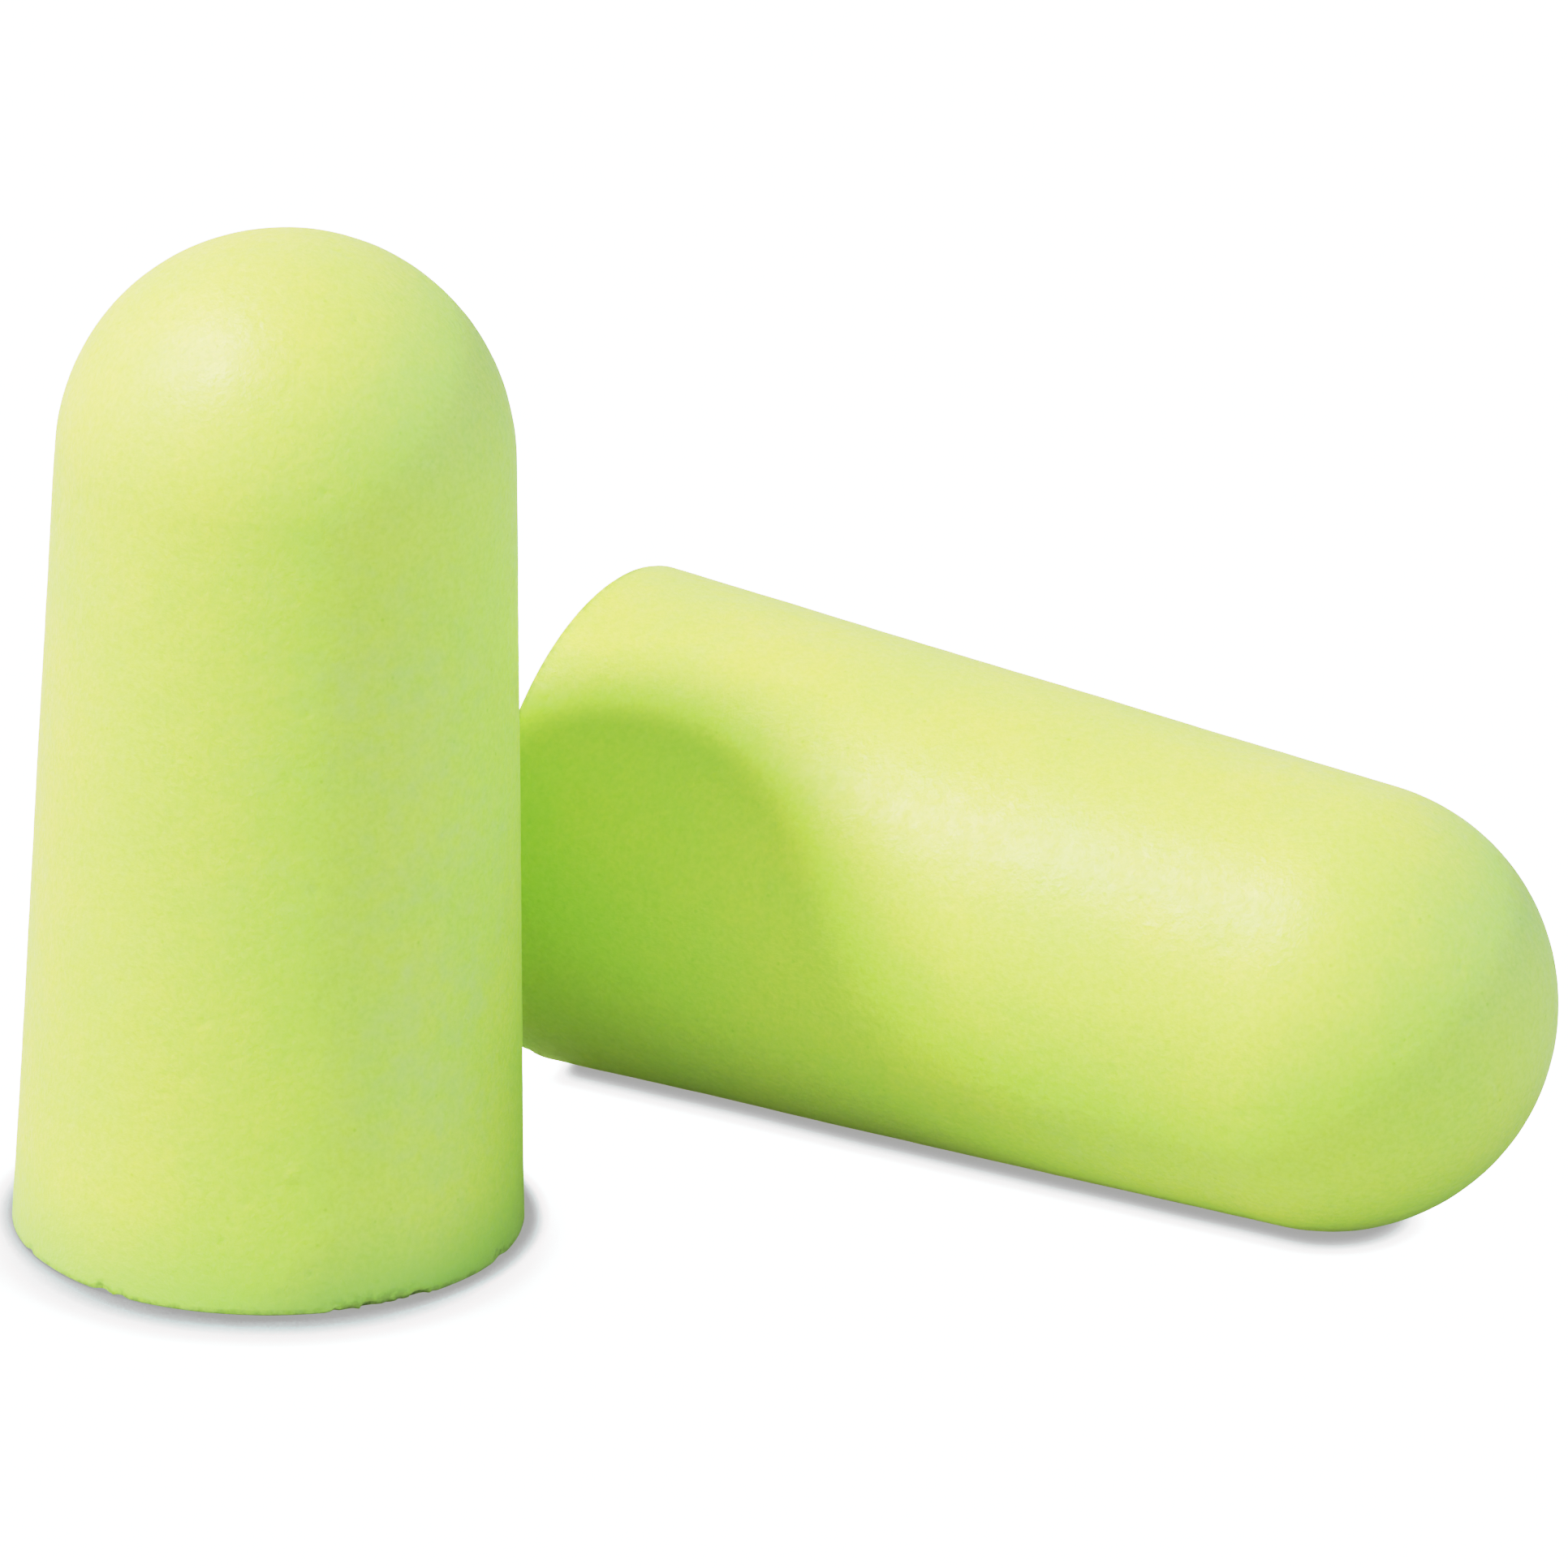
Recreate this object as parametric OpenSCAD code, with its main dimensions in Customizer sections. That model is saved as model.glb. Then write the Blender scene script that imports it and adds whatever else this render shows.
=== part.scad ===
// A pair of one-piece foam ear plugs: each is a tapered round body with a
// flat cut base and a round tip. One plug stands on its base, and the other
// lies on its side behind it. The origin is the centre of the standing plug's
// base, +Z is up, and the plugs rest on the plane z = 0.

/* [Plug shape] */
// Diameter at the flat base
base_d = 12.2; // [9:0.1:16]
// Diameter of the round tip
tip_d = 10.8; // [8:0.1:15]
// Length of the standing plug, from base to tip
standing_len = 24.6; // [18:0.1:34]
// Length of the lying plug, from base to tip
lying_len = 25.4; // [18:0.1:34]

/* [Resting places] */
// Lean of the standing plug to its right, which its slanted base cut gives it
base_lean = 1.3; // [0:0.1:5]
// Turn of the lying plug about the vertical, with 0 pointing its tip to the right
lying_turn = -30; // [-80:1:20]
// Distance of the lying plug's base past the standing plug, along the lying plug
lying_start = 1.5; // [-10:0.1:15]
// Gap between the widest circles of the two plugs
plug_gap = 1; // [0.5:0.1:10]

/* [Hidden] */
$fn = 96;
foam_colour = [0.76, 0.86, 0.24];
base_r = base_d / 2;
tip_r = tip_d / 2;
axis_gap = max(base_d, tip_d) + plug_gap;
// Foam below the base centre that the slanted cut takes off
cut_spare = base_d * tan(base_lean);

// Height of the tip's centre above the base
function tip_centre(len) = len - tip_r;

// Slope of the straight side, from the base's rim to where it meets the tip
function side_slope(len) =
    atan2(tip_centre(len), -base_r) - asin(tip_r / norm([base_r, tip_centre(len)]));

// Angle between the side and the axis: above 0 where the plug narrows to its tip
function taper(len) = side_slope(len) - 90;

// Point where the straight side runs smoothly into the round tip
function shoulder(len) =
    [0, tip_centre(len)] + tip_r * [cos(taper(len)), sin(taper(len))];

// Half of the plug's section, with its side carried on below the base by spare
module plug_profile(len, spare) {
    polygon([
        [0, -spare],
        [base_r + spare * tan(taper(len)), -spare],
        shoulder(len),
        [0, shoulder(len).y]
    ]);
    intersection() {
        translate([0, tip_centre(len)]) circle(r = tip_r);
        translate([0, shoulder(len).y]) square(tip_d);
    }
}

module plug(len, spare = 0) {
    rotate_extrude() plug_profile(len, spare);
}

// Stands on its base, which is cut at a slant to its axis
module standing_plug() {
    color(foam_colour)
        intersection() {
            rotate([0, base_lean, 0]) plug(standing_len, cut_spare);
            translate([0, 0, standing_len]) cube(2 * standing_len, center = true);
        }
}

// Lies on its side, so that its rim and its tip both touch the surface
module lying_plug() {
    color(foam_colour)
        rotate([0, 0, lying_turn])
            translate([lying_start, axis_gap, base_r * cos(taper(lying_len))])
                rotate([0, 90 + taper(lying_len), 0]) plug(lying_len);
}

standing_plug();
lying_plug();
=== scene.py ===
"""A pair of foam ear plugs: one stands on its cut base, and one lies on its side.

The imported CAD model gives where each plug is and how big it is. This script builds each
plug's foam surface round those measures, with its pores, cut base and nicked rim.
A plug's measures are in millimetres until its mesh is made. The camera, the lights and
the floor are in metres.
"""

import math

import bpy
import numpy as np
from mathutils import Matrix, Vector, kdtree, noise


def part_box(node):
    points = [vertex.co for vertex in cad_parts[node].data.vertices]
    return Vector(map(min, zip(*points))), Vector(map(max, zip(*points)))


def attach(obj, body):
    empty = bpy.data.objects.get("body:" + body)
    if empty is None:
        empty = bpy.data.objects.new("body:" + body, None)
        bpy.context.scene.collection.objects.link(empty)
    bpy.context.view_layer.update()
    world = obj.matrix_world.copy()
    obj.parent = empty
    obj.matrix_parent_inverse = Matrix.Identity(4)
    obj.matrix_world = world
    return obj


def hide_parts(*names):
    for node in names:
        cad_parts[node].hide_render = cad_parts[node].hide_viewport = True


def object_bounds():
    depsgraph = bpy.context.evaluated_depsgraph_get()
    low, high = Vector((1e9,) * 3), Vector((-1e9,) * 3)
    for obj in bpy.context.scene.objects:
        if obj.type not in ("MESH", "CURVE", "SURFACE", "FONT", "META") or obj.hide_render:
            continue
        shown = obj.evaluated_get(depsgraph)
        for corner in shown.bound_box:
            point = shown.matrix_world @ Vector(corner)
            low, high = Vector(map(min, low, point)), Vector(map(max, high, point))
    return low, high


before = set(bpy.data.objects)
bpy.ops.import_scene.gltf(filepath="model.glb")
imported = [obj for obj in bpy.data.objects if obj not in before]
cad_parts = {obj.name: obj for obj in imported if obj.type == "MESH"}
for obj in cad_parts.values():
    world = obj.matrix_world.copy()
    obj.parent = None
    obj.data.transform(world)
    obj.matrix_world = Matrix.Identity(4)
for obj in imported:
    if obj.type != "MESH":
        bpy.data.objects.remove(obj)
cad_low, cad_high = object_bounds()
MM = 0.001


# ---------------------------------------------------------------- camera

CAMERA_ELEVATION = 21.5
CAMERA_ROLL = 0.6
CAMERA_DISTANCE = 370 * MM
CAMERA_DROP = 3.1 * MM
CAMERA_SHIFT = 0.08 * MM
LENS = 355.5
SENSOR = 36
CLIP_START = 0.01
CLIP_END = 20


def direction(azimuth, elevation):
    """Unit vector towards a place round the object.

    Azimuth 0 is in front of the object, and 90 is to its right.
    """
    a, e = math.radians(azimuth), math.radians(elevation)
    return Vector((math.sin(a) * math.cos(e), -math.cos(a) * math.cos(e), math.sin(e)))


def add_camera(centre):
    """The scene's camera, in front of the object and a little above it, facing centre."""
    back = direction(0, CAMERA_ELEVATION)
    data = bpy.data.cameras.new("camera")
    data.lens = LENS
    data.sensor_width = SENSOR
    data.clip_start = CLIP_START
    data.clip_end = CLIP_END
    camera = bpy.data.objects.new("camera", data)
    bpy.context.scene.collection.objects.link(camera)
    facing = (-back).to_track_quat("-Z", "Y").to_matrix().to_4x4()
    roll = Matrix.Rotation(math.radians(CAMERA_ROLL), 4, "Z")
    camera.matrix_world = Matrix.Translation(centre + back * CAMERA_DISTANCE) @ facing @ roll
    bpy.context.scene.camera = camera


middle = (cad_low + cad_high) / 2
add_camera(middle - Vector((CAMERA_SHIFT, 0, CAMERA_DROP)))


# ---------------------------------------------------------------- light and floor

KEY_AZIMUTH = -74.5
KEY_ELEVATION = 55
KEY_DISTANCE = 0.6
KEY_SIZE = 0.13
KEY_LEVEL = (0.95, 1.05, 0.9)
# Broad soft lights round the object: azimuth, elevation, and red, green and blue level
SOFT_LIGHTS = [
    (-90, 5, (0.8, 1.0, 1.0)),
    (-45, 5, (0.5, 0.5, 0.9)),
    (20, 5, (0.7, 0.8, 1.0)),
    (90, 10, (0.7, 1.0, 2.0)),
    (180, 15, (0.7, 0.7, 0.6)),
    (0, 70, (0.4, 0.4, 0.2)),
]
# How narrow those lights are: the power of the cosine of the angle from their middle
SOFT_POWER = 4
FLOOR_WIDTH = 8.0
# How much light the floor gives back to the plugs
FLOOR_WHITE = 0.45
# The shadows at the plugs' feet: the side that the plug is on, and how far they reach from
# the standing plug and from the lying one
FRONT_SHADOW = ((0.0, 0.8, 0.6), 2.5 * MM, 0.68 * MM)
SIDE_SHADOW = ((-0.8, 0.0, 0.6), 0.8 * MM, 0.5 * MM)
BACK_SHADOW = ((0.4, -0.7, 0.6), 1.0 * MM, 0.5 * MM)
# Across this distance from the middle of the standing plug's foot, its shadow gives way to
# the lying plug's
STANDING_FOOT = (7.9 * MM, 8.5 * MM)
# How open to that side the floor is where a shadow is darkest, for each plug, and where
# it ends
SHADOW_CORE = (0.44, 0.26)
SHADOW_EDGE = 0.82
SHADOW_FALL = 1.8
SHADOW_SAMPLES = 16
# The floor's light level to the camera in the darkest shadow and in none
SHADOW_LEVEL = 0.27
SHADOW_NONE = 4.5
TONE_WHITE = 4.0
# Scene light level, and the level that all three colours are shown at
TONES = [(0.35, 0.5), (0.6, 0.7), (1.0, 0.8), (1.5, 0.88), (2.5, 0.92)]
# Before that, one colour's light level, and the level that it counts as
RED_TONES = [(0.6, 0.6), (1.5, 2.4)]
BLUE_TONES = [(0.1, 0.06), (0.3, 0.3)]


class Tree:
    """Short ways to add nodes to one node tree."""

    def __init__(self, owner):
        owner.use_nodes = True
        owner.node_tree.nodes.clear()
        self.nodes, self.links = owner.node_tree.nodes, owner.node_tree.links

    def add(self, kind, inputs=(), **settings):
        """A node. Inputs are given values, or other nodes' outputs to link."""
        node = self.nodes.new(kind)
        for key, value in settings.items():
            setattr(node, key, value)
        for key, value in dict(inputs).items():
            if isinstance(value, bpy.types.NodeSocket):
                self.links.new(value, node.inputs[key])
            else:
                node.inputs[key].default_value = value
        return node

    def ramp(self, value, low, high, to_low=0.0, to_high=1.0):
        """to_low at low and below, to_high at high and above, and evenly between."""
        node = self.add("ShaderNodeMapRange", {
            "Value": value, "From Min": low, "From Max": high,
            "To Min": to_low, "To Max": to_high})
        return node.outputs["Result"]

    def math(self, operation, a, b):
        return self.add("ShaderNodeMath", {0: a, 1: b}, operation=operation).outputs[0]

    def vector(self, operation, a, b, result="Vector"):
        node = self.add("ShaderNodeVectorMath", {0: a, 1: b}, operation=operation)
        return node.outputs[result]

    def mix(self, share, a, b):
        """Colour a with this share of colour b. The Mix node's colours are 6 and 7."""
        node = self.add("ShaderNodeMix", {0: share, 6: a, 7: b}, data_type="RGBA")
        return node.outputs[2]


def add_key_light():
    """A round soft box at the upper left. A white face turned to it shows KEY_LEVEL."""
    data = bpy.data.lights.new("key", "AREA")
    data.shape = "DISK"
    data.size = KEY_SIZE
    data.energy = math.pi ** 2 * KEY_DISTANCE ** 2
    data.color = KEY_LEVEL
    light = bpy.data.objects.new("key", data)
    bpy.context.scene.collection.objects.link(light)
    towards = direction(KEY_AZIMUTH, KEY_ELEVATION)
    light.location = middle + towards * KEY_DISTANCE
    light.rotation_euler = towards.to_track_quat("Z", "Y").to_euler()
    light.visible_camera = False


def add_sky():
    """Soft light from all round. The camera sees it as plain white."""
    world = bpy.data.worlds.new("studio")
    bpy.context.scene.world = world
    t = Tree(world)
    where = t.add("ShaderNodeTexCoord").outputs["Generated"]
    total = None
    for azimuth, elevation, level in SOFT_LIGHTS:
        facing = t.vector("DOT_PRODUCT", where, direction(azimuth, elevation), "Value")
        share = t.math("POWER", t.math("MAXIMUM", facing, 0.0), SOFT_POWER)
        shares = t.add("ShaderNodeCombineXYZ", {"X": share, "Y": share, "Z": share})
        part = t.vector("MULTIPLY", level, shares.outputs["Vector"])
        total = part if total is None else t.vector("ADD", total, part)
    seen = t.add("ShaderNodeLightPath").outputs["Is Camera Ray"]
    colour = t.mix(seen, total, (TONE_WHITE, TONE_WHITE, TONE_WHITE, 1))
    background = t.add("ShaderNodeBackground", {"Color": colour})
    t.add("ShaderNodeOutputWorld", {"Surface": background.outputs["Background"]})


def shadow_level(t):
    """The floor's light level to the camera: low where a plug touches it."""
    low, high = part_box("standing_plug")
    foot = Vector(((low[0] + high[0]) / 2, (low[1] + high[1]) / 2, 0))
    where = t.add("ShaderNodeTexCoord").outputs["Object"]
    away = t.vector("DISTANCE", where, foot, "Value")
    core = t.ramp(away, *STANDING_FOOT, *SHADOW_CORE)
    open_share = 1.0
    for towards, standing_reach, lying_reach in (FRONT_SHADOW, SIDE_SHADOW, BACK_SHADOW):
        normal = t.add("ShaderNodeCombineXYZ", dict(zip("XYZ", towards))).outputs["Vector"]
        reach = t.ramp(away, *STANDING_FOOT, standing_reach, lying_reach)
        open_here = t.add("ShaderNodeAmbientOcclusion", {
            "Distance": reach, "Normal": normal}, samples=SHADOW_SAMPLES).outputs["AO"]
        open_share = t.math("MULTIPLY", open_share, t.ramp(open_here, core, SHADOW_EDGE))
    shade = t.math("POWER", open_share, SHADOW_FALL)
    return t.ramp(shade, 0.0, 1.0, SHADOW_LEVEL, SHADOW_NONE)


def add_floor():
    """A white floor, burnt out to the camera but for the soft shadows at the plugs' feet."""
    half = FLOOR_WIDTH / 2
    corners = [(-half, -half, 0), (half, -half, 0), (half, half, 0), (-half, half, 0)]
    mesh = bpy.data.meshes.new("floor")
    mesh.from_pydata(corners, [], [(0, 1, 2, 3)])
    floor = bpy.data.objects.new("floor", mesh)
    bpy.context.scene.collection.objects.link(floor)
    material = bpy.data.materials.new("floor")
    t = Tree(material)
    level = shadow_level(t)
    # The tone curve lifts bright red, so the red here is lowered to keep the shadow grey
    (plain, _), (raised, shown_as) = RED_TONES
    red = t.math("MINIMUM", level, t.ramp(level, plain, shown_as, plain, raised))
    red = t.math("ADD", red, t.ramp(level, shown_as, TONE_WHITE, 0.0, TONE_WHITE - raised))
    grey = t.add("ShaderNodeCombineColor", {"Red": red, "Green": level, "Blue": level})
    shown = t.add("ShaderNodeEmission", {"Color": grey.outputs["Color"]})
    white = (FLOOR_WHITE, FLOOR_WHITE, FLOOR_WHITE, 1)
    lighting = t.add("ShaderNodeBsdfDiffuse", {"Color": white})
    surface = t.add("ShaderNodeMixShader", {
        0: t.add("ShaderNodeLightPath").outputs["Is Camera Ray"],
        1: lighting.outputs["BSDF"], 2: shown.outputs["Emission"]})
    t.add("ShaderNodeOutputMaterial", {"Surface": surface.outputs["Shader"]})
    mesh.materials.append(material)


def bend(curve, tones):
    """Makes a tone curve of straight lines through these points."""
    for level, shown in tones:
        curve.points.new(level / TONE_WHITE, shown)
    for point in curve.points:
        point.handle_type = "VECTOR"


def set_tone():
    """A film-like picture: dark tones stay saturated, and bright ones turn pale and warm."""
    view = bpy.context.scene.view_settings
    view.view_transform = "Standard"
    view.look = "None"
    view.use_curve_mapping = True
    mapping = view.curve_mapping
    mapping.white_level = (TONE_WHITE, TONE_WHITE, TONE_WHITE)
    red, _, blue, all_three = mapping.curves
    bend(all_three, TONES)
    bend(red, [(level, shown / TONE_WHITE) for level, shown in RED_TONES])
    bend(blue, [(level, shown / TONE_WHITE) for level, shown in BLUE_TONES])
    mapping.update()


# ---------------------------------------------------------------- a plug's measures

# The tip's roundness is measured above this share of the plug's height
TIP_SHARE = 0.86
# A point of the CAD mesh this near to the base's plane is on the rim
ON_PLANE = 0.002
# Normals that agree to this many decimals belong to one flat face
NORMAL_DECIMALS = 3


class Plug:
    """A plug's own lines and radii in millimetres, measured on its CAD mesh."""

    def __init__(self, node, seam):
        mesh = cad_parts[node].data
        points = np.array([v.co for v in mesh.vertices]) / MM
        normals = np.array([p.normal for p in mesh.polygons])
        areas = np.array([p.area for p in mesh.polygons])
        centres = np.array([p.center for p in mesh.polygons]) / MM
        # The base is the largest flat face
        rounded = np.round(normals, NORMAL_DECIMALS)
        _, kind = np.unique(rounded, axis=0, return_inverse=True)
        kind = kind.ravel()
        on_base = kind == np.bincount(kind, areas).argmax()
        self.base_normal = normals[on_base].mean(0)
        self.base_normal /= np.linalg.norm(self.base_normal)
        self.base = np.average(centres[on_base], axis=0, weights=areas[on_base])

        # The sphere that fits the tip best
        height = (self.base - points) @ self.base_normal
        tip = points[height > TIP_SHARE * height.max()]
        columns = np.hstack([2 * tip, np.ones((len(tip), 1))])
        found = np.linalg.lstsq(columns, (tip ** 2).sum(1), rcond=None)[0]
        self.tip_centre = found[:3]
        self.tip_r = math.sqrt(found[3] + found[:3] @ found[:3])

        axis = self.tip_centre - self.base
        self.tip_height = np.linalg.norm(axis)
        self.axis = axis / self.tip_height
        rim = points[np.abs(height) < ON_PLANE] - self.base
        away = rim - np.outer(rim @ self.axis, self.axis)
        self.base_r = np.linalg.norm(away, axis=1).max()

        # The side is straight from the rim to where it touches that sphere
        slope = math.atan2(self.tip_height, -self.base_r)
        slope -= math.asin(self.tip_r / math.hypot(self.base_r, self.tip_height))
        self.taper = slope - math.pi / 2
        self.shoulder_height = self.tip_height + self.tip_r * math.sin(self.taper)

        seam = np.array(seam, float)
        seam -= (seam @ self.axis) * self.axis
        self.seam = seam / np.linalg.norm(seam)
        self.across = np.cross(self.axis, self.seam)

    def outward(self, turn):
        """Unit vectors away from the axis, at these angles from the seam."""
        return np.outer(np.cos(turn), self.seam) + np.outer(np.sin(turn), self.across)

    def rim_height(self, turn):
        """How far along the axis the cut's rim is at these angles: 0 on a square cut."""
        lean = self.outward(turn) @ self.base_normal
        facing = self.axis @ self.base_normal
        return -self.base_r * lean / (facing - math.tan(self.taper) * lean)


# ---------------------------------------------------------------- a plug's mesh

# Points round a ring, and the distance between rings
AROUND = 320
STEP = 0.112
# The radius of the rounded rim, and how many rows of faces go round it
RIM_ROUND = 0.05
RIM_STEPS = 3
# The square grids that close the two ends
BASE_CAP_R = 3.2
TIP_CAP_ANGLE = math.radians(38)


def spaced(start, end, step):
    """Values from start to just before end, as near to step apart as fits."""
    count = max(1, round(abs(end - start) / step))
    return start + (end - start) * np.arange(count) / count


def disc_grid(side):
    """The x and y of a square grid of side by side cells, mapped onto the unit disc."""
    steps = np.arange(side + 1) * 2 / side - 1
    a, b = np.meshgrid(steps, steps, indexing="ij")
    wide = np.abs(a) > np.abs(b)
    safe_a = np.where(a == 0, 1, a)
    safe_b = np.where(b == 0, 1, b)
    eighth = math.pi / 4
    turn = np.where(wide, eighth * b / safe_a, 2 * eighth - eighth * a / safe_b)
    radius = np.where(wide, a, b)
    return radius * np.cos(turn), radius * np.sin(turn)


class Skin:
    """The plug's smooth surface, as rings and two end caps.

    from_rim is how far each point is from the rim along the surface, below 0 on the base.
    flat is 1 on the base, 0 on the side and tip, and between them on the rounded rim.
    """

    def __init__(self, plug):
        self.plug = plug
        self.turn = np.arange(AROUND) * 2 * math.pi / AROUND
        self.out = plug.outward(self.turn)
        self.rim = plug.rim_height(self.turn)
        self.points, self.normals, self.from_rim, self.flat = [], [], [], []
        self.faces, self.uvs = [], []
        self.count = 0
        self.build()

    def add(self, points, normals, from_rim, flat):
        """Adds points, and gives the index of the first."""
        first = self.count
        self.points.append(points)
        self.normals.append(normals)
        self.from_rim.append(from_rim * np.ones(len(points)))
        self.flat.append(np.full(len(points), flat, float))
        self.count += len(points)
        return first

    def ring(self, radius, height, tilt, from_rim, flat):
        """One ring. tilt is the normal's angle above the outward direction."""
        plug = self.plug
        points = plug.base + self.out * np.reshape(radius, (-1, 1)) \
            + np.outer(height * np.ones(AROUND), plug.axis)
        normals = self.out * math.cos(tilt) + plug.axis * math.sin(tilt)
        return self.add(points, normals, from_rim, flat)

    def build(self):
        """All the rings from the base to the tip, and the caps that close the ends."""
        plug = self.plug
        slope = math.tan(plug.taper)
        rim_r = plug.base_r - self.rim * slope
        rings = []
        # The flat base, from its cap to the rounded rim
        inner = (plug.base_r - RIM_ROUND) / plug.base_r
        for share in spaced(BASE_CAP_R / plug.base_r, inner, STEP / plug.base_r):
            first = self.ring(rim_r * share, self.rim * share, -math.pi / 2,
                              -plug.base_r * (1 - share), 1)
            rings.append((first, "base", plug.base_r * share))
        # The rim
        for turn in np.linspace(-math.pi / 2, 0, RIM_STEPS + 1):
            inset = RIM_ROUND * (1 - math.cos(turn))
            rise = RIM_ROUND * (1 + math.sin(turn))
            along = RIM_ROUND * (turn + math.pi / 4)
            first = self.ring(rim_r - inset, self.rim + rise, turn, along, 0.5)
            rings.append((first, "wall", rise))
        # The side
        for height in spaced(RIM_ROUND, plug.shoulder_height, STEP)[1:]:
            level = height + self.rim * (1 - height / plug.shoulder_height)
            first = self.ring(plug.base_r - level * slope, level, plug.taper, height, 0)
            rings.append((first, "wall", height))
        # The round tip, up to its cap
        for angle in spaced(plug.taper, math.pi / 2 - TIP_CAP_ANGLE, STEP / plug.tip_r):
            reach = plug.shoulder_height + plug.tip_r * (angle - plug.taper)
            first = self.ring(plug.tip_r * math.cos(angle),
                              plug.tip_height + plug.tip_r * math.sin(angle),
                              angle, reach, 0)
            rings.append((first, "wall", reach))
        last_reach = plug.shoulder_height \
            + plug.tip_r * (math.pi / 2 - TIP_CAP_ANGLE - plug.taper)
        self.wall_length = last_reach
        first = self.ring(plug.tip_r * math.sin(TIP_CAP_ANGLE),
                          plug.tip_height + plug.tip_r * math.cos(TIP_CAP_ANGLE),
                          math.pi / 2 - TIP_CAP_ANGLE, last_reach, 0)
        rings.append((first, "wall", last_reach))
        self.join_rings(rings)
        self.add_cap(rings[0][0], "base")
        self.add_cap(rings[-1][0], "tip")
        self.points = np.vstack(self.points)
        self.normals = np.vstack(self.normals)
        self.from_rim = np.concatenate(self.from_rim)
        self.flat = np.concatenate(self.flat)

    def join_rings(self, rings):
        """Faces between each ring and the next, and where they lie on the bake's map."""
        here = np.arange(AROUND)
        ahead = (here + 1) % AROUND
        for (low, low_kind, low_at), (high, high_kind, high_at) in zip(rings, rings[1:]):
            loop = [low + here, low + ahead, high + ahead, high + here]
            self.faces += np.stack(loop, 1).tolist()
            if high_kind == "wall" and low_kind == "wall":
                left, right = here / AROUND, (here + 1) / AROUND
                corners = [wall_uv(left, low_at), wall_uv(right, low_at),
                           wall_uv(right, high_at), wall_uv(left, high_at)]
            else:
                high_at = self.plug.base_r if high_kind == "wall" else high_at
                corners = [disc_uv(BASE_UV, low_at, self.turn[here]),
                           disc_uv(BASE_UV, low_at, self.turn[ahead]),
                           disc_uv(BASE_UV, high_at, self.turn[ahead]),
                           disc_uv(BASE_UV, high_at, self.turn[here])]
            corners = [np.stack(np.broadcast_arrays(*c), -1) for c in corners]
            self.uvs.append(np.stack(corners, 1))

    def add_cap(self, ring, kind):
        """Closes an end with a square grid bent onto a disc, whose border is the ring."""
        plug, side = self.plug, AROUND // 4
        x, y = disc_grid(side)
        radius = np.hypot(x, y)
        turn = np.arctan2(y, x)
        border = np.zeros_like(x, bool)
        border[[0, -1], :] = True
        border[:, [0, -1]] = True
        out = plug.outward(turn.ravel())
        r = radius.ravel()
        if kind == "base":
            height = plug.rim_height(turn.ravel()) * r * BASE_CAP_R / plug.base_r
            points = plug.base + out * (r * BASE_CAP_R)[:, None] + np.outer(height, plug.axis)
            normals = np.tile(-plug.axis, (len(r), 1))
            from_rim, flat = r * BASE_CAP_R - plug.base_r, 1
            uv = np.stack(disc_uv(BASE_UV, r * BASE_CAP_R, turn.ravel()), -1)
        else:
            polar = r * TIP_CAP_ANGLE
            normals = out * np.sin(polar)[:, None] + np.outer(np.cos(polar), plug.axis)
            points = plug.tip_centre + normals * plug.tip_r
            from_rim, flat = self.wall_length + plug.tip_r * (TIP_CAP_ANGLE - polar), 0
            uv = np.stack(disc_uv(TIP_UV, plug.tip_r * polar, turn.ravel()), -1)
        inside = ~border.ravel()
        first = self.add(points[inside], normals[inside], from_rim[inside], flat)
        index = np.empty(len(r), int)
        index[inside] = first + np.arange(inside.sum())
        step = np.round(turn.ravel() / (2 * math.pi / AROUND)).astype(int) % AROUND
        index[~inside] = ring + step[~inside]
        index = index.reshape(x.shape)
        uv = uv.reshape(*x.shape, 2)
        near, far = slice(None, -1), slice(1, None)
        corners = [(near, near), (far, near), (far, far), (near, far)]
        if kind == "base":
            corners.reverse()
        self.faces += np.stack([index[c] for c in corners], -1).reshape(-1, 4).tolist()
        self.uvs.append(np.stack([uv[c] for c in corners], 2).reshape(-1, 4, 2))


# The bake's map, in millimetres of foam on a square of UV_SIDE: the left, the bottom and
# the width of the wall, and the middles of the base and the tip's cap
UV_SIDE = 38.6
WALL_UV = (0.7, 0.5, 36.6)
BASE_UV = (7.1, 32.2)
TIP_UV = (19.0, 32.2)


def wall_uv(share, reach):
    left, low, width = WALL_UV
    return (left + share * width) / UV_SIDE, (low + reach) / UV_SIDE


def disc_uv(centre, radius, turn):
    return ((centre[0] + radius * np.cos(turn)) / UV_SIDE,
            (centre[1] + radius * np.sin(turn)) / UV_SIDE)


# ---------------------------------------------------------------- foam detail

# The mesh's attributes that the material reads: the cut base, painted glints, fraying with a
# painted shadow line round the rim, and painted contact shade
MARKS = ("cut", "worn", "torn", "edge")
# Lump size, how far it moves the surface, and its own seed
LUMPS = [(8.0, 0.030, 1), (3.2, 0.012, 2), (1.1, 0.006, 3), (0.45, 0.004, 4)]
NOISE_OFFSET = (17.3, 5.1, 11.7)
PORES = 420
PORE_R = (0.10, 0.20)
PORE_DEPTH = (0.010, 0.035)
SMALL_NICK_R = (0.10, 0.16)
SMALL_NICK_DEPTH = (0.02, 0.05)
TORN_NICKS = 26
TORN_NICK_R = (0.10, 0.18)
TORN_NICK_DEPTH = (0.03, 0.08)
TORN_HEIGHT = 0.45
# A nick's direction: how much of it is up the axis, and how much inwards
NICK_UP, NICK_IN = 0.8, 0.6
# How far below a blister its dent is, as a share of its radius
BLISTER_DENT = 0.6
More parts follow.
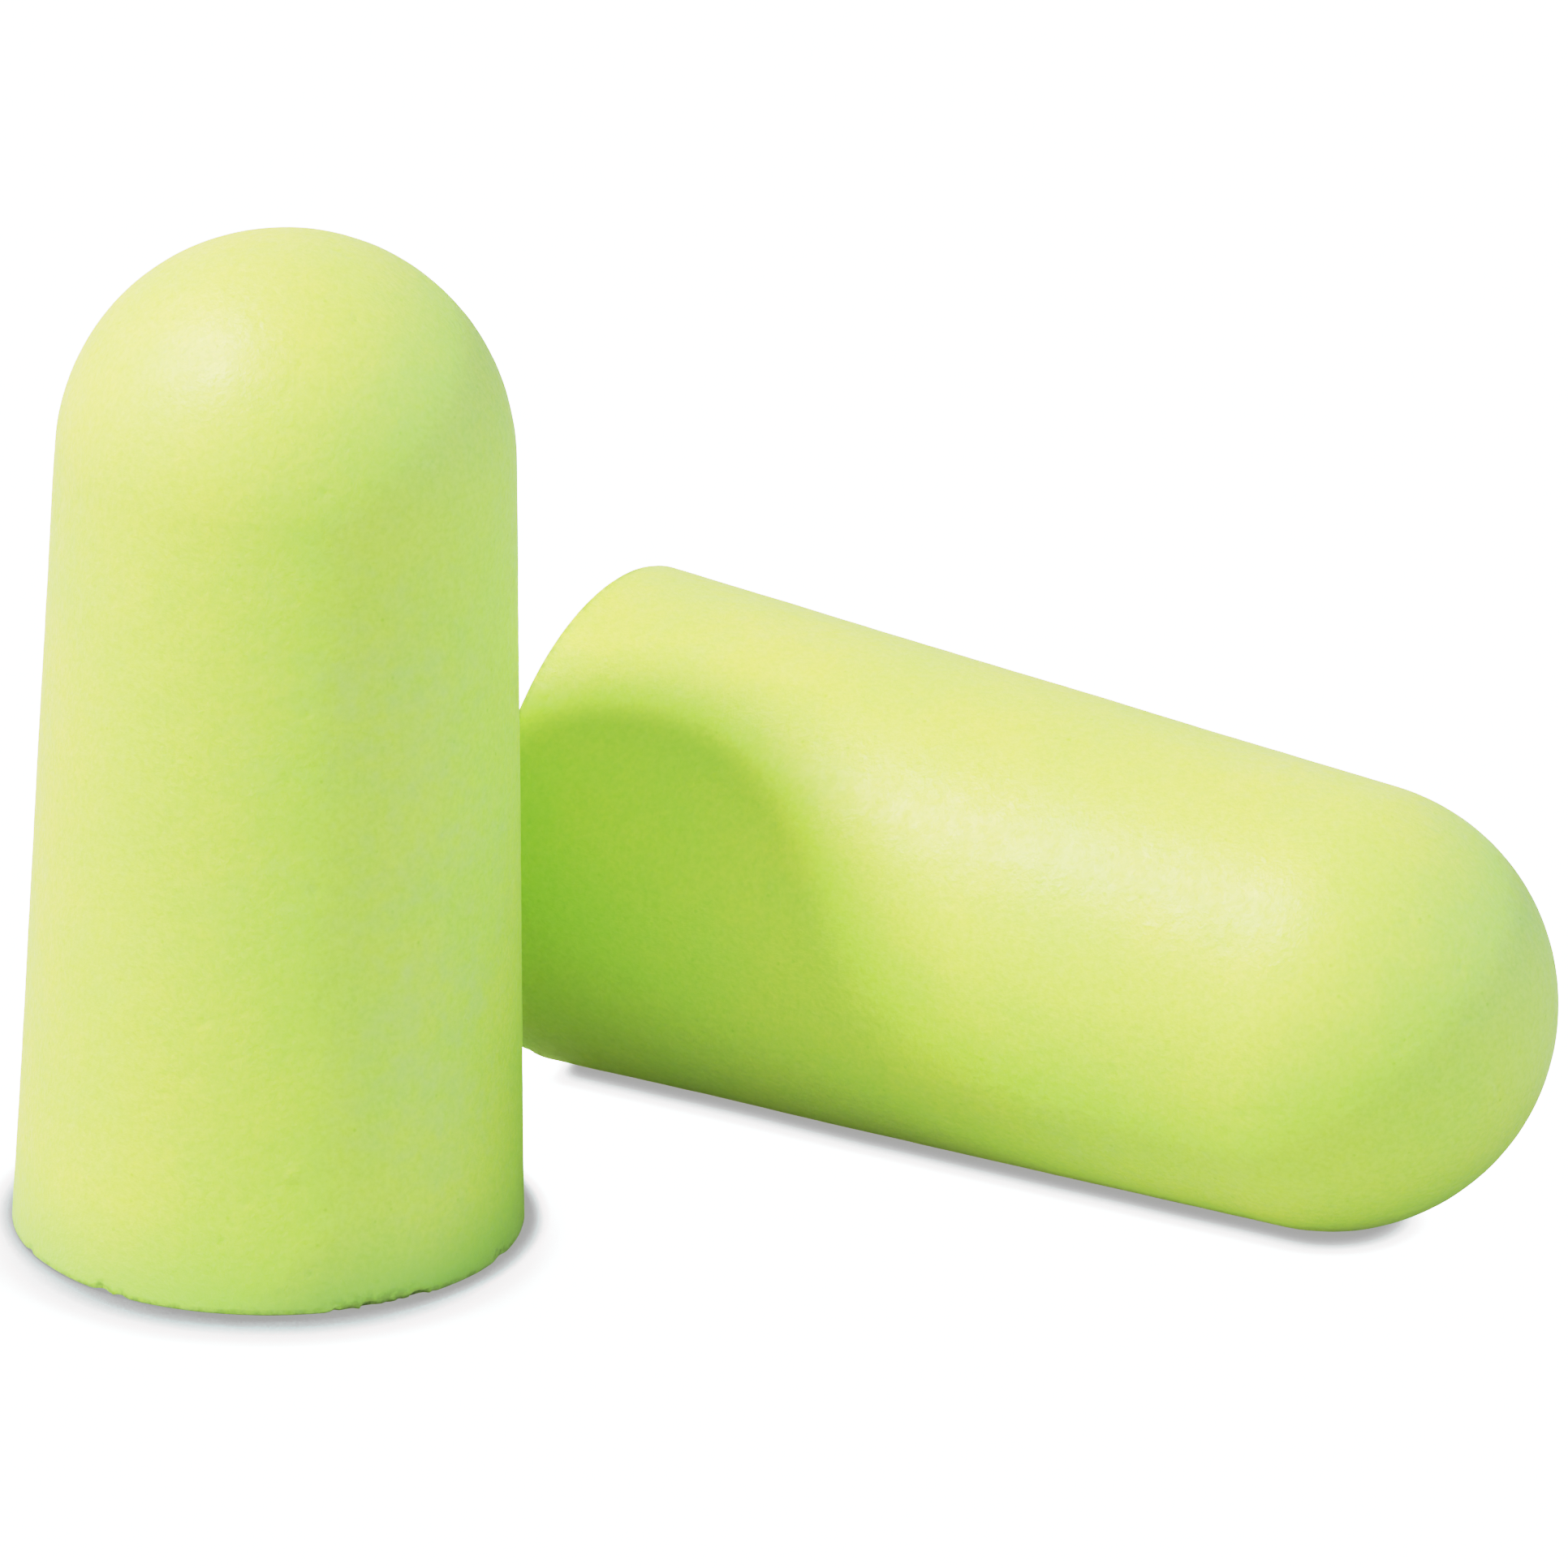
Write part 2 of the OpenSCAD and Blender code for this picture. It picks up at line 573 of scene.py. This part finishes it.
# The open cells on the cut base, and the slow waves under them
CUT_CELL = 0.34
CUT_CELL_DEPTH = 0.05
CELL_OFFSET = (7.9, 13.1, 3.7)
CELL_WALL = 1.4
CUT_WAVE = 0.02
CUT_WAVE_SIZE = 1.6
CUT_WAVE_SEED = 9
CUT_FADE = 0.25
# The dark line round the rim, partly the cut's open cells and partly painted contact
# shadow: its strength, how far from the rim it is, and its half width
CUT_LINE = 0.6
CUT_LINE_AT = 0.03
CUT_LINE_HALF = 0.14
# How fast the painted contact shade near the cut fades up the side
CONTACT_SHADE_FALL = 1.5


def noise_at(points, size, seed):
    """Smooth noise from about -1 to 1, with lumps of about size millimetres."""
    offset = Vector([seed * step for step in NOISE_OFFSET])
    return np.array([noise.noise(Vector(p) / size + offset) for p in points])


def cells_at(points, size, seed):
    """Distance to the nearest cell's middle, 0 there and 1 at the walls between cells."""
    offset = Vector([seed * step for step in CELL_OFFSET])
    return np.array([min(1.0, noise.voronoi(Vector(p) / size + offset)[0][0] * CELL_WALL)
                     for p in points])


def bowl(away, radius):
    """A smooth dent's share of its full depth, this far from its middle."""
    return np.clip(1 - (away / radius) ** 2, 0, 1) ** 2


def window(value, middle, half):
    """1 at the middle, falling smoothly to 0 at half on either side."""
    return np.clip(1 - ((value - middle) / half) ** 2, 0, 1) ** 2


class Foam:
    """A plug's smooth skin with the marks that real foam has, and painted glints and shade."""

    def __init__(self, plug, seed, nicks, small_nicks, torn, edge, worn, blister):
        self.plug, self.seed = plug, seed
        self.skin = Skin(plug)
        self.rng = np.random.default_rng(seed)
        away = self.skin.points - plug.base
        self.turn = np.degrees(np.arctan2(away @ plug.across, away @ plug.seam)) % 360
        self.height = away @ plug.axis
        self.points = self.skin.points.copy()
        self.add_lumps()
        self.tree = kdtree.KDTree(len(self.points))
        for i, p in enumerate(self.points):
            self.tree.insert(p, i)
        self.tree.balance()
        self.add_pores()
        self.roughen_cut()
        self.nick_rim(nicks, small_nicks, torn)
        self.add_blister(*blister)
        self.torn = self.frayed_and_shade_share(*torn)
        self.worn = self.worn_share(worn)
        self.edge = self.edge_share(*edge)

    def add_lumps(self):
        move = sum(amount * noise_at(self.points, size, self.seed + number)
                   for size, amount, number in LUMPS)
        self.points += self.skin.normals * move[:, None]

    def near(self, point, radius):
        """Indices of the points within radius, and how far away each one is."""
        found = self.tree.find_range(point, radius)
        return np.array([i for _, i, _ in found], int), np.array([d for _, _, d in found])

    def add_pores(self):
        skin = self.skin
        dent = np.zeros(len(self.points))
        open_skin = np.flatnonzero((skin.flat == 0) & (skin.from_rim > TORN_HEIGHT))
        for i in self.rng.choice(open_skin, PORES, replace=False):
            radius = self.rng.uniform(*PORE_R)
            depth = self.rng.uniform(*PORE_DEPTH)
            near, away = self.near(self.points[i], radius)
            dent[near] = np.maximum(dent[near], depth * bowl(away, radius))
        self.points -= skin.normals * dent[:, None]

    def roughen_cut(self):
        """Opens the foam's cells on the cut base."""
        on_cut = np.flatnonzero(self.skin.flat == 1)
        cut = self.points[on_cut]
        pits = CUT_CELL_DEPTH * (1 - cells_at(cut, CUT_CELL, self.seed)) ** 1.5
        pits += CUT_WAVE * (1 + noise_at(cut, CUT_WAVE_SIZE, self.seed + CUT_WAVE_SEED)) / 2
        fade = np.clip(-self.skin.from_rim[on_cut] / CUT_FADE, 0, 1)
        self.points[on_cut] += self.plug.axis * (pits * fade)[:, None]

    def nick_rim(self, nicks, small_nicks, torn):
        """Dents the rim at the given places, at random places, and along the torn length."""
        rng = self.rng
        places = list(nicks)
        self.nicked = np.zeros(len(self.points))
        for _ in range(small_nicks):
            places.append((rng.uniform(0, 360), rng.uniform(*SMALL_NICK_R),
                           rng.uniform(*SMALL_NICK_DEPTH)))
        for _ in range(TORN_NICKS):
            places.append((rng.uniform(*torn), rng.uniform(*TORN_NICK_R),
                           rng.uniform(*TORN_NICK_DEPTH)))
        for turn, radius, depth in places:
            at = np.radians([turn])
            out = self.plug.outward(at)[0]
            on_rim = self.plug.base + out * self.plug.base_r \
                + self.plug.axis * self.plug.rim_height(at)[0]
            near, away = self.near(on_rim, radius)
            dent = bowl(away, radius)
            move = (self.plug.axis * NICK_UP - out * NICK_IN) * depth
            self.points[near] += np.outer(dent, move)
            self.nicked[near] = np.maximum(self.nicked[near], dent ** 0.5)

    def add_blister(self, turn, height, radius, rise):
        """A small raised spot with a dent along its lower side."""
        plug = self.plug
        out = plug.outward(np.radians([turn]))[0]
        on_side = plug.base + out * (plug.base_r - height * math.tan(plug.taper)) \
            + plug.axis * height
        for shift, amount in ((0, rise), (-radius * BLISTER_DENT, -rise)):
            near, away = self.near(on_side + plug.axis * shift, radius)
            self.points[near] += np.outer(bowl(away, radius), out * amount)

    def above_cut(self, reach):
        """1 at the rim, falling evenly to 0 this far up the side."""
        return np.clip(1 - self.skin.from_rim / reach, 0, 1)

    def frayed_and_shade_share(self, start, end):
        """How dark each point is: frayed along the torn length and in nicks, and on the rim's
        line, which is partly painted contact shadow.
        """
        round_rim = window(self.turn, (start + end) / 2, (end - start) / 2) ** 0.5
        cells_and_shadow_line = CUT_LINE * window(self.skin.from_rim, CUT_LINE_AT, CUT_LINE_HALF)
        torn = round_rim * self.above_cut(TORN_HEIGHT)
        frayed_and_shade = np.maximum(np.maximum(torn, self.nicked), cells_and_shadow_line)
        return frayed_and_shade * (self.skin.from_rim > -CUT_FADE)

    def worn_share(self, patches):
        """How much painted glint each point has: most in the middle of each patch, and never
        on the cut.
        """
        glint_amount = np.zeros(len(self.points))
        for turn, height, half_turn, half_height, strength in patches:
            off = (self.turn - turn + 180) % 360 - 180
            share = window(off, 0, half_turn) * window(self.height, height, half_height)
            glint_amount = np.maximum(glint_amount, strength * share ** 0.5)
        return glint_amount * (1 - self.skin.flat)

    def edge_share(self, reach, strength):
        """How much painted contact shade each point has: darker near the cut."""
        up = self.above_cut(reach)
        return strength * up ** CONTACT_SHADE_FALL * (self.skin.from_rim > -CUT_FADE)

    def mesh(self, name):
        """The finished mesh in metres, pressed flat where it rests on the floor."""
        self.points[:, 2] = np.maximum(self.points[:, 2], 0)
        mesh = bpy.data.meshes.new(name)
        mesh.from_pydata((self.points * MM).tolist(), [], self.skin.faces)
        layer = mesh.uv_layers.new(name="OFBake")
        layer.data.foreach_set("uv", np.concatenate(self.skin.uvs).ravel())
        for kind, values in zip(MARKS, (self.skin.flat, self.worn, self.torn, self.edge)):
            mesh.attributes.new(kind, "FLOAT", "POINT").data.foreach_set("value", values)
        mesh.shade_smooth()
        return mesh


# ---------------------------------------------------------------- foam material

FOAM_GREEN = (0.65, 0.88, 0.19, 1)
FOAM_YELLOW = (0.72, 0.89, 0.19, 1)
FOAM_DEEP = (0.45, 0.72, 0.08, 1)
# The next colour paints the cool light's glints on open cells as pale bluish patches, the one
# after paints contact shade near the cut, and the darkest is frayed foam and also a painted
# shadow line round the rim.
FOAM_GLINT = (0.62, 0.80, 0.27, 1)
FOAM_CONTACT_SHADE = (0.42, 0.66, 0.17, 1)
FOAM_FRAYED_AND_SHADE = (0.2, 0.3, 0.08, 1)
# Sizes of the noise's lumps, in millimetres
MOTTLE, FINE_MOTTLE = 3.5, 0.8
GRAIN, COARSE_GRAIN = 0.14, 0.3
DOTS = 0.7
PATCH, GLINT_SPOT = 2.4, 0.5
FRAY = 0.22
SHINE = 0.4
# Ramps: from, to, and where they aren't 0 and 1, the share at each
MOTTLE_RAMP = (0.5, 0.85)
GRAIN_RAMP = (0.35, 0.7, 0.0, 0.3)
DOTS_RAMP = (0.03, 0.09, 0.45, 0.0)
GLINT_RAMP = (0.98, 1.4, 0.0, 0.55)
CELLS_RAMP = (0.1, 0.5, 0.8, 0.15)
FRAY_RAMP = (0.4, 0.6, 0.1, 1.0)
ROUGHNESS_RAMP = (0.3, 0.7, 0.46, 0.58)
# How much these count beside what they are added to
FINE_SHARE = 0.35
PATCH_SHARE = 0.9
GLINT_SHARE = 0.2
GRAIN_DEPTH = 0.019 * MM
# How far red, green and blue light spreads inside the foam, and the scale of that
SPREAD = (1.0, 1.0, 0.5)
SPREAD_SCALE = 0.35 * MM
SPECULAR = 0.6
IOR = 1.45


def foam_material(name):
    """Yellow-green foam, with each mark where the mesh's attributes say, painted glints and
    shade among them.
    """
    material = bpy.data.materials.new(name)
    t = Tree(material)
    where = t.add("ShaderNodeTexCoord").outputs["Object"]

    def lumps(size, detail=2.0, roughness=0.5):
        """Noise from 0 to 1 with lumps of about size millimetres."""
        return t.add("ShaderNodeTexNoise", {
            "Vector": where, "Scale": 1 / (size * MM), "Detail": detail,
            "Roughness": roughness}).outputs["Fac"]

    def cells(size):
        return t.add("ShaderNodeTexVoronoi", {
            "Vector": where, "Scale": 1 / (size * MM)}).outputs["Distance"]

    cut, worn, torn, edge = (
        t.add("ShaderNodeAttribute", attribute_name=kind).outputs["Fac"] for kind in MARKS)

    mottle = t.math("ADD", lumps(MOTTLE), t.math("MULTIPLY", lumps(FINE_MOTTLE), FINE_SHARE))
    colour = t.mix(t.ramp(mottle, *MOTTLE_RAMP), FOAM_GREEN, FOAM_YELLOW)
    grain = lumps(GRAIN, 3.0, 0.6)
    colour = t.mix(t.ramp(grain, *GRAIN_RAMP), colour, FOAM_DEEP)
    colour = t.mix(t.ramp(cells(DOTS), *DOTS_RAMP), colour, FOAM_DEEP)
    # Painted glints: pale bluish patches where the cool light glints on open cells
    glint_amount = t.math("ADD", lumps(GLINT_SPOT, 1.0), t.math("MULTIPLY", lumps(PATCH), PATCH_SHARE))
    glint_amount = t.math("ADD", glint_amount, t.math("MULTIPLY", worn, GLINT_SHARE))
    glints = t.ramp(glint_amount, *GLINT_RAMP)
    colour = t.mix(t.math("MULTIPLY", glints, worn), colour, FOAM_GLINT)
    # Painted contact shade: darker foam near the cut
    colour = t.mix(edge, colour, FOAM_CONTACT_SHADE)
    open_cells = t.ramp(cells(CUT_CELL), *CELLS_RAMP)
    colour = t.mix(t.math("MULTIPLY", cut, open_cells), colour, FOAM_DEEP)
    # Frayed foam, with the painted shadow line round the rim
    frayed_and_shade = t.math("MULTIPLY", torn, t.ramp(lumps(FRAY), *FRAY_RAMP))
    colour = t.mix(frayed_and_shade, colour, FOAM_FRAYED_AND_SHADE)

    bump = t.add("ShaderNodeBump", {
        "Height": t.math("ADD", grain, lumps(COARSE_GRAIN)),
        "Strength": 1.0, "Distance": GRAIN_DEPTH})
    rough = t.ramp(lumps(SHINE), *ROUGHNESS_RAMP)

    shader = t.add("ShaderNodeBsdfPrincipled", {
        "Base Color": colour, "Roughness": rough, "Normal": bump.outputs["Normal"],
        "Subsurface Weight": 1.0, "Subsurface Radius": SPREAD,
        "Subsurface Scale": SPREAD_SCALE, "Specular IOR Level": SPECULAR, "IOR": IOR})
    t.add("ShaderNodeOutputMaterial", {"Surface": shader.outputs["BSDF"]})
    return material


# ---------------------------------------------------------------- the pieces

def add_plug(node, body, seam, material, **marks):
    """Builds the foam plug that stands for a CAD node."""
    mesh = Foam(Plug(node, seam), **marks).mesh(node + "_foam")
    mesh.materials.append(material)
    piece = bpy.data.objects.new(node + "_foam", mesh)
    bpy.context.scene.collection.objects.link(piece)
    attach(piece, body)
    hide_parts(node)


foam = foam_material("foam")
# Turns are in degrees round the plug from its seam, and the rest is in millimetres.
# nicks: turn, radius, depth. torn: from turn, to turn. edge: how far the painted contact
# shade above the cut goes up, and its strength. blister: turn, height, radius, rise.
# worn: pale patches painting the cool light's glints on open cells: turn, height, half
# turn, half height, strength.
# The standing plug's nick at turn 246 is a real dent whose dark colour paints the shade at the
# plug's lower right.
add_plug("standing_plug", "standing_plug", (0, 1, 0), foam, seed=3,
         nicks=[(142, 0.34, 0.08), (147, 0.24, 0.06), (114, 0.24, 0.06), (246, 0.4, 0.05)],
         small_nicks=6, torn=(192, 220), edge=(2.6, 0.9), blister=(187, 3.5, 0.3, 0.035),
         worn=[(206, 14.5, 50, 7, 0.8), (225, 8, 40, 9, 0.9), (120, 12, 60, 12, 0.3)])
add_plug("lying_plug", "lying_plug", (0, 0, -1), foam, seed=8,
         nicks=[(20, 0.2, 0.05)],
         small_nicks=0, torn=(320, 340), edge=(0.4, 0.5), blister=(20, 12, 0.3, 0.02),
         worn=[(150, 20, 60, 6, 0.7), (180, 4, 60, 6, 0.4), (320, 14, 60, 10, 0.5)])
add_key_light()
add_sky()
add_floor()
set_tone()
